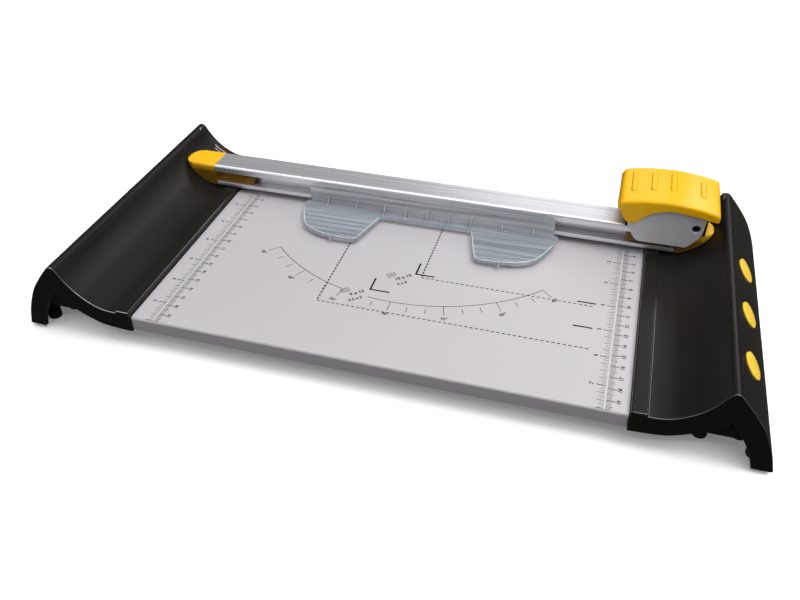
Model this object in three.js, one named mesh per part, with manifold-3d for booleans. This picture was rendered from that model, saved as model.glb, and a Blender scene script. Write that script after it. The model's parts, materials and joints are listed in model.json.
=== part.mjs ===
// Rotary paper trimmer: a ruled cutting board held between two deep side trays, a cutting rail across the
// back with a hinged clear guard, and a sliding head with a press lever and a round blade.
// Millimetres. +X runs along the rail, +Y points to the back edge, +Z up. Z = 0 is the table, X = 0 the middle.
import * as THREE from "three";
import { mergeVertices } from "three/addons/utils/BufferGeometryUtils.js";
import Module from "manifold-3d";

const wasm = await Module();
wasm.setup();

// Driving dimensions
const BOARD_TOP = 25;
const BOARD_HALF = 160;
const BOARD_FRONT = -105;
const BOARD_BACK = 105.5;
const BOARD_SKIRT_BOTTOM = 14.7;
const PLATE = 3;
const WALL = 2.5;
const CUT_Y = 93;
const TRAY_END = 106.5;
const TRAY_INNER = 160.3;
const TRAY_RIB_TOP = 29.4;
const TRAY_END_PLATE = 3;
const RAIL_LEFT = -177;
const RAIL_RIGHT = 180;
const RAIL_FRONT = 58.5;
const RAIL_BACK = 80;
const RAIL_BOTTOM = 29.8;
const RAIL_TOP = 47.5;
const LIP_BOTTOM = 41.9;
const CHANNEL_FLOOR_Y = 67.5;
const CHANNEL_LOW = 33;
const CHANNEL_HIGH = 45;
const CAP_TIP = 203.6;
const GROOVE_FLOOR_Y = 76;
const GROOVE_LOW = 37;
const GROOVE_HIGH = 41.4;
const GAP = 0.3;

// Cutting head, drawn parked at the right end of the rail
const HEAD_X = 171;
const BLADE_RADIUS = 14;
const BLADE_THICK = 0.5;
const PRESS_ANGLE = 0.08;
const PIN_X = 147.5;
const PIN_Z = 59;
const PRESS_X = 181.5;
const STROKE = (PRESS_X - PIN_X) * PRESS_ANGLE;
const BLADE_CLEAR = 0.12;
const BLADE_Z = BOARD_TOP + BLADE_CLEAR + STROKE + BLADE_RADIUS;
const LEVER_FRONT = 53.2;
const LEVER_BACK = 102.3;
const LEVER_WALL = 1.4;
const LEVER_ARCH_RADIUS = 131;
const LEVER_ARCH_X = 168.5;
const LEVER_ARCH_TOP = 72.4;
const LEVER_LEFT = 136.6;
const LEVER_LOBE = 135.3;
const LEVER_RIGHT = 203.8;
const LEVER_ROUND = 2.6;
const LEVER_END_ROUND = 3.2;
const COVER_FRONT = 54.9;
const COVER_THICK = 1.2;
const BODY_FRONT = 56.4;
const SCREW_X = 190.3;
const SCREW_Z = 53.6;
const SPRING_X = 188;
const SPRING_Y = 74;
const SPRING_LOW = 50.8;
const SPRING_HIGH = 65.7;

// Clear guard, hooked into the front channel of the rail
const GUARD_BACK = 58.2;
const GUARD_THICK = 1.2;
const GUARD_TOP = 46.7;
const GUARD_HALF = 95;
const TAB_LOW = 27.6;
const TAB_HIGH = 29.4;

// Colours
const BLACK = 0x1f1d1b;
const BOARD_GREY = 0xcfcacd;
const SILVER = 0xd8d7dc;
const STEEL = 0xb9bbc0;
const YELLOW = 0xffcf1c;
const COVER_GREY = 0x97999f;
const CLEAR = 0xa9b6bd;
const NYLON = 0xe6e4dc;
const RUBBER = 0x111111;

const trimmer = new THREE.Group();
trimmer.name = "rotary_trimmer";

// ---- Small tools ----

function solid(geometry) {
  const bare = geometry.index ? geometry.toNonIndexed() : geometry.clone();
  bare.deleteAttribute("normal");
  bare.deleteAttribute("uv");
  const merged = mergeVertices(bare, 1e-4);
  return new wasm.Manifold(
    new wasm.Mesh({
      numProp: 3,
      vertProperties: merged.attributes.position.array,
      triVerts: new Uint32Array(merged.index.array),
    }),
  );
}

function surface(made) {
  const mesh = made.getMesh();
  const geometry = new THREE.BufferGeometry();
  geometry.setAttribute("position", new THREE.BufferAttribute(new Float32Array(mesh.vertProperties), 3));
  geometry.setIndex(new THREE.BufferAttribute(new Uint32Array(mesh.triVerts), 1));
  geometry.computeVertexNormals();
  return geometry;
}

function union(parts) {
  return parts.reduce((sum, part) => sum.add(part));
}

function without(base, cutters) {
  return cutters.reduce((rest, cutter) => rest.subtract(cutter), base);
}

function place(name, made, color, look = {}) {
  const geometry = made.isBufferGeometry ? made : surface(made);
  const material = new THREE.MeshStandardMaterial({ color, flatShading: true, ...look });
  const mesh = new THREE.Mesh(geometry, material);
  mesh.name = name;
  trimmer.add(mesh);
}

function outline(points) {
  return new THREE.Shape(points.map(([a, b]) => new THREE.Vector2(a, b)));
}

function vectors(points) {
  return points.map(([a, b]) => new THREE.Vector2(a, b));
}

function alongZ(shape, low, high, segments = 4) {
  const geometry = new THREE.ExtrudeGeometry(shape, {
    depth: high - low,
    bevelEnabled: false,
    curveSegments: segments,
  });
  return geometry.translate(0, 0, low);
}

// A shape drawn in X and Z, extruded along Y
function alongY(shape, front, back, segments = 4) {
  const geometry = alongZ(shape, 0, back - front, segments);
  return solid(geometry.rotateX(Math.PI / 2).translate(0, back, 0));
}

// A shape drawn in Y and Z, extruded along X
function alongX(shape, left, right, segments = 4) {
  const geometry = alongZ(shape, 0, right - left, segments);
  return solid(geometry.rotateX(Math.PI / 2).rotateZ(Math.PI / 2).translate(left, 0, 0));
}

function box(x0, x1, y0, y1, z0, z1) {
  const geometry = new THREE.BoxGeometry(x1 - x0, y1 - y0, z1 - z0);
  return solid(geometry.translate((x0 + x1) / 2, (y0 + y1) / 2, (z0 + z1) / 2));
}

function postZ(x, y, radius, low, high, sides = 20) {
  const geometry = new THREE.CylinderGeometry(radius, radius, high - low, sides);
  return solid(geometry.rotateX(Math.PI / 2).translate(x, y, (low + high) / 2));
}

function rodY(x, z, radius, front, back, sides = 20) {
  const geometry = new THREE.CylinderGeometry(radius, radius, back - front, sides);
  return solid(geometry.translate(x, (front + back) / 2, z));
}

// A profile of [radius, height] pairs that starts and ends on the axis, turned about Z
function turned(profile, sides) {
  return new THREE.LatheGeometry(vectors(profile), sides).rotateX(Math.PI / 2);
}

function mirroredX(made) {
  const mesh = made.getMesh();
  const flipped = new Float32Array(mesh.vertProperties);
  for (let i = 0; i < flipped.length; i += 3) flipped[i] *= -1;
  const turns = new Uint32Array(mesh.triVerts);
  for (let i = 0; i < turns.length; i += 3) [turns[i + 1], turns[i + 2]] = [turns[i + 2], turns[i + 1]];
  return new wasm.Manifold(new wasm.Mesh({ numProp: 3, vertProperties: flipped, triVerts: turns }));
}

// A flat-headed screw that points up, its head's lower face at headLow
function screwUp(x, y, headLow, headHigh, headRadius, shankRadius, tip) {
  const body = union([
    postZ(x, y, headRadius, headLow, headHigh, 16),
    postZ(x, y, shankRadius, headHigh - 0.1, tip, 16),
  ]);
  const slotDepth = (headHigh - headLow) * 0.5;
  return without(body, [
    box(x - headRadius * 0.6, x + headRadius * 0.6, y - 0.45, y + 0.45, headLow - 1, headLow + slotDepth),
    box(x - 0.45, x + 0.45, y - headRadius * 0.6, y + headRadius * 0.6, headLow - 1, headLow + slotDepth),
  ]);
}

// ---- Board ----

const BOARD_SCREW_X = 151;
const BOARD_SCREW_YS = [-60, 55];

function boardPlate() {
  const round = 2;
  const lip = 0.8;
  const shape = new THREE.Shape();
  shape.moveTo(BOARD_FRONT, BOARD_SKIRT_BOTTOM);
  shape.lineTo(BOARD_FRONT + WALL, BOARD_SKIRT_BOTTOM);
  shape.lineTo(BOARD_FRONT + WALL, BOARD_TOP - PLATE);
  shape.lineTo(BOARD_BACK - WALL, BOARD_TOP - PLATE);
  shape.lineTo(BOARD_BACK - WALL, BOARD_SKIRT_BOTTOM);
  shape.lineTo(BOARD_BACK, BOARD_SKIRT_BOTTOM);
  shape.lineTo(BOARD_BACK, BOARD_TOP - lip);
  shape.absarc(BOARD_BACK - lip, BOARD_TOP - lip, lip, 0, Math.PI / 2);
  shape.absarc(BOARD_FRONT + round, BOARD_TOP - round, round, Math.PI / 2, Math.PI);
  return alongX(shape, -BOARD_HALF, BOARD_HALF, 3);
}

function board() {
  const under = BOARD_TOP - PLATE + 0.5;
  const parts = [boardPlate()];
  for (const side of [-1, 1]) {
    const outer = side * BOARD_HALF;
    const inner = side * (BOARD_HALF - WALL);
    const [low, high] = [Math.min(outer, inner), Math.max(outer, inner)];
    parts.push(box(low, high, BOARD_FRONT + 1, BOARD_BACK - 1, BOARD_SKIRT_BOTTOM, under));
    for (const y of BOARD_SCREW_YS) parts.push(postZ(side * BOARD_SCREW_X, y, 4, BOARD_SKIRT_BOTTOM, under));
  }
  for (const x of [-96, -32, 32, 96]) parts.push(box(x - 1, x + 1, BOARD_FRONT + 1, BOARD_BACK - 1, 17, under));
  for (const y of [-70, -35, 0, 35, 70]) parts.push(box(-BOARD_HALF + 1, BOARD_HALF - 1, y - 1, y + 1, 17, under));
  parts.push(box(-BOARD_HALF + 1, BOARD_HALF - 1, CUT_Y - 6, CUT_Y + 6, 19, under));
  const cuts = [box(-156, 156, CUT_Y - 3.5, CUT_Y + 3.5, 22.4, 30)];
  for (const side of [-1, 1])
    for (const y of BOARD_SCREW_YS) cuts.push(postZ(side * BOARD_SCREW_X, y, 1.7, 10, 21, 16));
  return without(union(parts), cuts);
}

// ---- Side trays ----

const SCOOP = [
  [176, 27.9],
  [183, 29.5],
  [190, 33.3],
  [197, 38.8],
  [203.6, 46.9],
  [208.4, 55],
];
const CREST = [
  [210, 56.2],
  [211.7, 56.5],
  [213.4, 55.7],
  [215, 54],
];
const FLANK = [
  [222.7, 45],
  [231.1, 33],
  [238.4, 17],
  [241.6, 6],
];
const LEG_BOTTOM = 2.8;
const LEG_OUTER = 242.3;
const LEG_ROUND = 1.5;
const LIP_START = 98.5;
const LIP_RAMP = 2;
const LEDGE_INNER = 146;
const LEDGE_OUTER = 163.4;
const LEDGE_HALF = 99;
const LEDGE_LOW = 11.8;
const LEDGE_HIGH = 14.4;
const ARCH_WALL_INNER = 198;
const ARCH_WALL_OUTER = 222;
const ARCH_WALL_LOW = 21;
const ARCH_WALL_THICK = 2;
const FOOT_PLACES = [
  [203, -84.4],
  [225.5, -79.5],
  [203, 84.4],
  [225.5, 79.5],
  [233.2, -92.5],
  [233.2, 92.5],
];
const FOOT_RADIUS = 4.6;
const INSERT_X = 223.75;
const INSERT_Z = 43.7;
const INSERT_LENGTH = 19.8;
const INSERT_WIDTH = 16.4;
const INSERT_GAP = 0.3;
const INSERT_YS = [28.9, -18.5, -65.8];
const INSERT_TILT = Math.atan2(12.6, 9.9);
const RAIL_SCREW_X = 166;
const RAIL_SCREW_Y = 72;

// The tray's top side, from the inner edge over the scoop and the crest down to the outer edge
function trayTop(shape) {
  shape.moveTo(TRAY_INNER, TRAY_RIB_TOP - 0.8);
  shape.lineTo(TRAY_INNER + 0.8, TRAY_RIB_TOP);
  shape.lineTo(169.3, TRAY_RIB_TOP);
  shape.lineTo(169.9, 27.7);
  shape.splineThru(vectors(SCOOP));
  shape.splineThru(vectors(CREST));
  shape.splineThru(vectors(FLANK));
  shape.lineTo(LEG_OUTER, LEG_BOTTOM + LEG_ROUND);
  shape.quadraticCurveTo(LEG_OUTER, LEG_BOTTOM, LEG_OUTER - LEG_ROUND, LEG_BOTTOM);
}

function trayEndShape() {
  const shape = new THREE.Shape();
  trayTop(shape);
  shape.lineTo(230.4, LEG_BOTTOM);
  shape.splineThru(vectors([[226.5, 14.5], [219.8, 26.5], [213.3, 35.8]]));
  shape.splineThru(vectors([[209.4, 28.6], [203, 25.4], [192.5, 19.6], [180, 15], [TRAY_INNER, 13.5]]));
  return shape;
}

function trayEnvelopeShape() {
  const shape = new THREE.Shape();
  trayTop(shape);
  shape.lineTo(TRAY_INNER, LEG_BOTTOM);
  return shape;
}

function trayHollowShape() {
  const shape = new THREE.Shape();
  shape.moveTo(163.4, -5);
  shape.lineTo(163.4, 26.6);
  shape.lineTo(168.4, 26.6);
  shape.lineTo(169.6, 23.8);
  shape.splineThru(vectors([[177, 24.4], [184.5, 26.7], [192, 31], [199.4, 36.9], [206, 45], [209.9, 52]]));
  shape.lineTo(212.4, 52.3);
  shape.splineThru(vectors([[220.3, 43], [228.3, 31.6], [235.3, 16.4], [238.6, 5], [239.2, 1]]));
  shape.lineTo(239.2, -5);
  return shape;
}

// An oval block square to the outer flank, the insert's outline grown by margin all round
function ovalOnFlank(y, margin, low, high) {
  const shape = new THREE.Shape();
  shape.absellipse(0, 0, INSERT_WIDTH / 2 + margin, INSERT_LENGTH / 2 + margin, 0, Math.PI * 2);
  const geometry = alongZ(shape, low, high, 14);
  return solid(geometry.rotateY(INSERT_TILT).translate(INSERT_X, y, INSERT_Z));
}

// The scoop steps up to a flat lip along the tray's rear edge
function rearLip() {
  const steps = 16;
  const scoop = new THREE.SplineCurve(vectors(SCOOP)).getPoints(steps);
  const rise = (x) => THREE.MathUtils.mapLinear(x, SCOOP[0][0], SCOOP.at(-1)[0], 3.3, 1.2);
  const flat = [
    [TRAY_INNER + 1, TRAY_RIB_TOP - 0.5],
    [170.2, TRAY_RIB_TOP - 0.5],
  ];
  const crest = [SCOOP.at(-1)[0] + 2, SCOOP.at(-1)[1] + 1.4];
  const top = [...flat, ...scoop.map((p) => [p.x, p.y + rise(p.x)]), crest];
  const under = scoop.map((p) => [p.x + 1, p.y - 1.2]).reverse();
  const shape = outline([...top, [SCOOP.at(-1)[0] + 2, 51], ...under, [TRAY_INNER + 1, 26]]);
  const depth = TRAY_END - LIP_START;
  const geometry = new THREE.ExtrudeGeometry(shape, { depth, steps: depth / LIP_RAMP, bevelEnabled: false });
  geometry.rotateX(Math.PI / 2).translate(0, TRAY_END, 0);
  const spots = geometry.attributes.position;
  for (let i = 0; i < spots.count; i++) {
    const near = Math.abs(spots.getY(i) - LIP_START) < 0.1;
    const drop = near && top.some(([x, z]) => Math.hypot(x - spots.getX(i), z - spots.getZ(i)) < 0.01);
    if (drop) spots.setZ(i, spots.getZ(i) - rise(Math.max(spots.getX(i), SCOOP[0][0])) - 0.1);
  }
  return solid(geometry);
}

function rightTray(withInserts) {
  const inner = TRAY_END - TRAY_END_PLATE;
  const envelope = alongY(trayEnvelopeShape(), -TRAY_END, TRAY_END, 3);
  const shell = alongY(trayEndShape(), -TRAY_END, TRAY_END, 3).subtract(
    alongY(trayHollowShape(), -inner, inner, 3),
  );
  const parts = [shell, rearLip()];
  for (const y of [-45, 0, 45]) parts.push(alongY(trayEndShape(), y - 1, y + 1, 3));
  for (const [x, y] of FOOT_PLACES) parts.push(postZ(x, y, FOOT_RADIUS - 1, 2.9, 60).intersect(envelope));
  parts.push(box(TRAY_INNER, 190.5, CUT_Y - 4.5, CUT_Y + 4.5, 18.5, 40).intersect(envelope));
  parts.push(box(LEDGE_INNER, LEDGE_OUTER, -LEDGE_HALF, LEDGE_HALF, LEDGE_LOW, LEDGE_HIGH));
  for (const y of [-inner, inner - ARCH_WALL_THICK]) {
    const wall = box(ARCH_WALL_INNER, ARCH_WALL_OUTER, y, y + ARCH_WALL_THICK, ARCH_WALL_LOW, 60);
    parts.push(wall.intersect(envelope));
  }
  if (withInserts)
    for (const y of INSERT_YS) parts.push(ovalOnFlank(y, 4, -5, 0.5).intersect(envelope));
  const cuts = [box(150, 189, CUT_Y - 2.5, CUT_Y + 2.5, 24.4, 40)];
  for (const y of BOARD_SCREW_YS) cuts.push(postZ(BOARD_SCREW_X, y, 1.9, 5, 16, 16));
  cuts.push(postZ(RAIL_SCREW_X, RAIL_SCREW_Y, 1.7, 20, 32, 16));
  if (withInserts) for (const y of INSERT_YS) cuts.push(ovalOnFlank(y, 0, -2.2, 9));
  return without(union(parts), cuts);
}

// The insert's face is a shallow dome that stands a little proud of the flank
function flankInsert(y) {
  const dome = new THREE.SphereGeometry(1, 32, 16).scale(INSERT_WIDTH * 0.75, INSERT_LENGTH * 0.75, 1.9);
  const placed = solid(dome.rotateY(INSERT_TILT).translate(INSERT_X - 0.7, y, INSERT_Z - 0.55));
  return placed.intersect(ovalOnFlank(y, -INSERT_GAP, -1.9, 9));
}

function rubberFoot(x, y) {
  const r = FOOT_RADIUS;
  const bore = FOOT_RADIUS - 0.7;
  const cup = turned([[0, 0], [r - 0.8, 0], [r, 0.8], [r, 7], [bore, 7], [bore, 2.6], [0, 2.6]], 20);
  return cup.translate(x, y, 0);
}

// ---- Rail ----

function railShape() {
  const round = 2;
  const small = 0.8;
  const shape = new THREE.Shape();
  shape.moveTo(RAIL_FRONT + 0.6, RAIL_BOTTOM);
  shape.lineTo(RAIL_BACK, RAIL_BOTTOM);
  shape.lineTo(RAIL_BACK, GROOVE_LOW);
  shape.lineTo(GROOVE_FLOOR_Y, GROOVE_LOW);
  shape.lineTo(GROOVE_FLOOR_Y, GROOVE_HIGH);
  shape.lineTo(RAIL_BACK, GROOVE_HIGH);
  shape.lineTo(RAIL_BACK, RAIL_TOP - small);
  shape.absarc(RAIL_BACK - small, RAIL_TOP - small, small, 0, Math.PI / 2);
  shape.absarc(RAIL_FRONT + round, RAIL_TOP - round, round, Math.PI / 2, Math.PI);
  shape.lineTo(RAIL_FRONT, LIP_BOTTOM);
  shape.lineTo(RAIL_FRONT + 1.4, LIP_BOTTOM);
  shape.lineTo(RAIL_FRONT + 1.4, CHANNEL_HIGH);
  shape.lineTo(CHANNEL_FLOOR_Y, CHANNEL_HIGH);
  shape.lineTo(CHANNEL_FLOOR_Y, CHANNEL_LOW);
  shape.lineTo(RAIL_FRONT, CHANNEL_LOW);
  shape.lineTo(RAIL_FRONT, RAIL_BOTTOM + 0.6);
  return shape;
}

function rail() {
  const bar = alongX(railShape(), RAIL_LEFT, RAIL_RIGHT, 4);
  const cuts = [box(-200, 200, 69.8, 74, 36.5, 45)];
  for (const side of [-1, 1]) cuts.push(postZ(side * RAIL_SCREW_X, RAIL_SCREW_Y, 1.7, 25, 37, 16));
  return without(bar, cuts);
}

// The cap closes the rail's end above the scoop; its tongue fills the front channel
function rightCap(seam) {
  const round = 2;
  const shape = new THREE.Shape();
  shape.moveTo(seam + GAP, RAIL_BOTTOM);
  shape.lineTo(184, 30.4);
  shape.splineThru(vectors([[191, 34.7], [197, 39.8], [CAP_TIP, 47.25]]));
  shape.quadraticCurveTo(CAP_TIP, RAIL_TOP, CAP_TIP - 1, RAIL_TOP);
  shape.lineTo(seam + GAP, RAIL_TOP);
  const plan = new THREE.Shape();
  plan.moveTo(seam, RAIL_BACK);
  plan.lineTo(seam, RAIL_FRONT);
  plan.lineTo(195, RAIL_FRONT);
  plan.splineThru(vectors([[199.8, 59.7], [202.8, 63.2], [CAP_TIP, 68.4]]));
  plan.splineThru(vectors([[202.6, 74], [199.4, 78.2], [194, RAIL_BACK]]));
  const side = new THREE.Shape();
  side.moveTo(RAIL_FRONT, RAIL_BOTTOM);
  side.lineTo(RAIL_BACK, RAIL_BOTTOM);
  side.lineTo(RAIL_BACK, RAIL_TOP);
  side.absarc(RAIL_FRONT + round, RAIL_TOP - round, round, Math.PI / 2, Math.PI);
  const nose = alongY(shape, RAIL_FRONT, RAIL_BACK, 5)
    .intersect(solid(alongZ(plan, 20, 60, 5)))
    .intersect(alongX(side, 170, 210, 4));
  const tongueTop = LIP_BOTTOM - 0.4;
  const tongue = box(145, seam + 2, 60.3, CHANNEL_FLOOR_Y - GAP, CHANNEL_LOW + GAP, tongueTop);
  return nose.add(tongue).subtract(box(170, 220, GROOVE_FLOOR_Y, 90, GROOVE_LOW, GROOVE_HIGH));
}

// A rubber block in the rear groove that stops the head
function stopBuffer(side) {
  const [near, far] = [190.6, 193.6];
  const x0 = side > 0 ? near : -far;
  const x1 = x0 + far - near;
  return box(x0, x1, GROOVE_FLOOR_Y + GAP, RAIL_BACK - 0.2, GROOVE_LOW + GAP, GROOVE_HIGH - GAP);
}

// ---- Clear guard ----

// Half of the plate's front edge, from the middle strip round one finger tab
function tabEdge() {
  return [
    [32.8, 47.5],
    [34, 47.2],
    [35.2, 45.6],
    [43.2, 16],
    [45, 13.4],
    [48.5, 12.4],
    [61, 12.4],
    [73.5, 14.9],
    [82, 18.4],
    [88, 23.6],
    [92.2, 32],
    [96.8, 44],
    [98.7, 55.8],
    [97.6, 57],
  ];
}

function guardPlateShape() {
  const right = tabEdge();
  const left = right.map(([x, y]) => [-x, y]).reverse();
  return outline([[97.6, GUARD_BACK], [-97.6, GUARD_BACK], ...left, ...right]);
}

// A raised bead along the front edge of each finger tab
function tabRim(side) {
  const path = tabEdge().slice(3, 12);
  const inner = path.map(([x, y]) => {
    const towardX = 68 - x;
    const towardY = 40 - y;
    const length = Math.hypot(towardX, towardY);
    return [x + (towardX / length) * 1.6, y + (towardY / length) * 1.6];
  });
  const ring = [...path, ...inner.reverse()].map(([x, y]) => [side * x, y]);
  return solid(alongZ(outline(ring), TAB_HIGH - 0.2, TAB_HIGH + 1.1));
}

function guard() {
  const front = GUARD_BACK - GUARD_THICK;
  const flange = outline([
    [-GUARD_HALF, TAB_LOW],
    [GUARD_HALF, TAB_LOW],
    [GUARD_HALF, 41],
    [93.2, 44.6],
    [87, GUARD_TOP],
    [-87, GUARD_TOP],
    [-93.2, 44.6],
    [-GUARD_HALF, 41],
  ]);
  const parts = [alongY(flange, front, GUARD_BACK)];
  parts.push(solid(alongZ(guardPlateShape(), TAB_LOW, TAB_HIGH)));
  const hookTop = LIP_BOTTOM - 0.5;
  parts.push(box(-86, 86, GUARD_BACK - 0.2, 62.1, hookTop - 1.3, hookTop));
  parts.push(box(-86, 86, 60.9, 62.1, hookTop - 0.2, CHANNEL_HIGH - 0.6));
  for (const side of [-1, 1]) parts.push(tabRim(side));
  for (const x of [-33.7, -16.8, 0, 16.8, 33.7]) parts.push(gusset(x, 48, 37.2));
  for (const x of [-80.2, -57, 57, 80.2]) parts.push(gusset(x, 52.5, 34.6));
  for (const x of [-62.6, 62.6]) parts.push(box(x - 0.6, x + 0.6, 9.8, 13.4, TAB_LOW, TAB_HIGH + 1.1));
  return union(parts);
}

// A thin web that stiffens the corner between the upright flange and the plate
function gusset(x, frontY, high) {
  const shape = outline([
    [frontY, TAB_HIGH - 0.2],
    [GUARD_BACK - 0.4, TAB_HIGH - 0.2],
    [GUARD_BACK - 0.4, high],
    [GUARD_BACK - GUARD_THICK - 0.1, high],
  ]);
  return alongX(shape, x - 0.5, x + 0.5);
}

// ---- Cutting head ----

// Lower edge of the lever's skirt from the lobe round the pin to the free end
const SKIRT_EDGE = [
  [LEVER_LOBE, 64.7],
  [136.3, 62.3],
  [138.6, 61.6],
  [139.7, 58],
  [141.3, 55.2],
  [143.7, 53.1],
  [147, 52.4],
  [150, 53.4],
  [152.2, 55.7],
  [154.6, 58.3],
  [157.7, 60.9],
  [161.8, 63],
  [168.3, 65.1],
  [176.2, 65.6],
  [186.5, 64.3],
  [196.3, 62.6],
  [LEVER_RIGHT, 61.2],
];
const COVER_EDGE = [
  [152.5, 38],
  [155, 37.6],
  [185.6, 37.6],
  [188, 39.3],
  [193.6, 46.4],
  [195, 50.5],
  [195.9, 62.6],
];

function archPoints(offset, left, right, steps) {
  const radius = LEVER_ARCH_RADIUS + offset;
  const centreZ = LEVER_ARCH_TOP - LEVER_ARCH_RADIUS;
  const points = [];
  for (let i = 0; i <= steps; i++) {
    const x = right + ((left - right) * i) / steps;
    points.push([x, centreZ + Math.sqrt(radius ** 2 - (x - LEVER_ARCH_X) ** 2)]);
  }
  return points;
}

// The arched block that the lever is cut from, with every edge of its two faces rounded
function leverBlock() {
  const r = LEVER_ROUND;
  const right = LEVER_RIGHT - LEVER_END_ROUND;
  const left = LEVER_LEFT + LEVER_END_ROUND;
  const shape = new THREE.Shape();
  shape.moveTo(LEVER_LOBE, 40);
  shape.lineTo(LEVER_RIGHT, 40);
  shape.lineTo(LEVER_RIGHT, archHeight(LEVER_RIGHT, 0) - LEVER_END_ROUND);
  shape.quadraticCurveTo(LEVER_RIGHT, archHeight(LEVER_RIGHT, 0), right, archHeight(right, 0));
  for (const [x, z] of archPoints(0, left, right, 18)) shape.lineTo(x, z);
  const leftSide = archHeight(left, 0) - LEVER_END_ROUND;
  shape.quadraticCurveTo(LEVER_LEFT, archHeight(LEVER_LEFT, 0), LEVER_LEFT - 0.3, leftSide);
  shape.lineTo(LEVER_LOBE, 64.7);
  const geometry = new THREE.ExtrudeGeometry(shape, {
    depth: LEVER_BACK - LEVER_FRONT - 2 * r,
    bevelThickness: r,
    bevelSize: r,
    bevelOffset: -r,
    bevelSegments: 4,
    curveSegments: 6,
  });
  return solid(geometry.rotateX(Math.PI / 2).translate(0, LEVER_BACK - r, 0));
}

function leverShell() {
  const aboveSkirt = outline([...SKIRT_EDGE, [LEVER_RIGHT + 5, 61], [LEVER_RIGHT + 5, 90], [LEVER_LEFT - 5, 90]]);
  const inner = outline([
    [LEVER_LEFT + 0.6, 65.2],
    [139.2, 62.8],
    [141, 57.5],
    [141, 40],
    [LEVER_RIGHT - 1.5, 40],
    ...archPoints(-1.6, LEVER_LEFT + 1.5, LEVER_RIGHT - 1.5, 14),
  ]);
  const cavity = alongY(inner, LEVER_FRONT + LEVER_WALL, LEVER_BACK - LEVER_WALL);
  return leverBlock().intersect(alongY(aboveSkirt, LEVER_FRONT - 1, LEVER_BACK + 1)).subtract(cavity);
}

function archHeight(x, offset) {
  return archPoints(offset, x, x, 1)[0][1];
}

// A long oval pad with sloped sides, laid on the arch
function fingerRib(x, front, back) {
  const slope = 0.9;
  const base = 1.3;
  const r = 1.1;
  const plan = new THREE.Shape();
  plan.absarc(0, back - slope - r, r, 0, Math.PI);
  plan.absarc(0, front + slope + r, r, Math.PI, Math.PI * 2);
  const geometry = new THREE.ExtrudeGeometry(plan, {
    depth: 0.5,
    bevelThickness: slope,
    bevelSize: slope,
    bevelSegments: 2,
    curveSegments: 5,
  });
  const tilt = Math.asin((x - LEVER_ARCH_X) / LEVER_ARCH_RADIUS);
  return solid(geometry.translate(0, 0, slope - base).rotateY(tilt).translate(x, 0, archHeight(x, 0)));
}

function pressLever() {
  const under = -1;
  const parts = [leverShell()];
  for (const [x, front, back] of [
    [145.2, 67, 93.5],
    [158.3, 68, 94],
    [171.4, 69.5, 95],
    [191.6, 69.5, 91.5],
  ])
    parts.push(fingerRib(x, front, back));
  for (const [front, back] of [
    [61.2, 65.4],
    [89.7, 93.9],
  ]) {
    parts.push(rodY(PIN_X, PIN_Z, 3.4, front, back, 24));
    parts.push(box(PIN_X - 3.4, PIN_X + 3.4, front, back, PIN_Z, archHeight(PIN_X - 3.4, under)));
  }
  parts.push(box(PRESS_X - 3, PRESS_X + 3, 87, 99, 64.3, archHeight(PRESS_X + 3, under)));
  parts.push(postZ(SPRING_X, SPRING_Y, 5, SPRING_HIGH + GAP, archHeight(SPRING_X + 5, under)));
  parts.push(postZ(SPRING_X, SPRING_Y, 2.4, 62, SPRING_HIGH + 1));
  return without(union(parts), [rodY(PIN_X, PIN_Z, 1.6, 60, 95, 16)]);
}

function frontCover() {
  const edge = outline([
    ...COVER_EDGE,
    [186.5, 64.3],
    [176.2, 65.6],
    [168.3, 65.1],
    [161.6, 62.9],
    [156, 60.4],
    [150, 58.4],
    [144.6, 57.6],
    [144.4, 50.3],
    [145.7, 47.3],
    [150, 40.3],
  ]);
  const plate = alongY(edge, COVER_FRONT, COVER_FRONT + COVER_THICK);
  const cup = rodY(SCREW_X, SCREW_Z, 4, COVER_FRONT + 0.1, 59);
  return without(plate.add(cup), [
    rodY(SCREW_X, SCREW_Z, 3, COVER_FRONT - 1, 57.8),
    rodY(SCREW_X, SCREW_Z, 1.4, 50, 62, 16),
  ]);
}

function coverScrew() {
  const body = union([
    rodY(SCREW_X, SCREW_Z, 2.5, 56.4, 57.5),
    rodY(SCREW_X, SCREW_Z, 1.1, 57.4, 66.5, 16),
  ]);
  return without(body, [
    box(SCREW_X - 1.5, SCREW_X + 1.5, 55, 57.1, SCREW_Z - 0.35, SCREW_Z + 0.35),
    box(SCREW_X - 0.35, SCREW_X + 0.35, 55, 57.1, SCREW_Z - 1.5, SCREW_Z + 1.5),
  ]);
}

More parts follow.
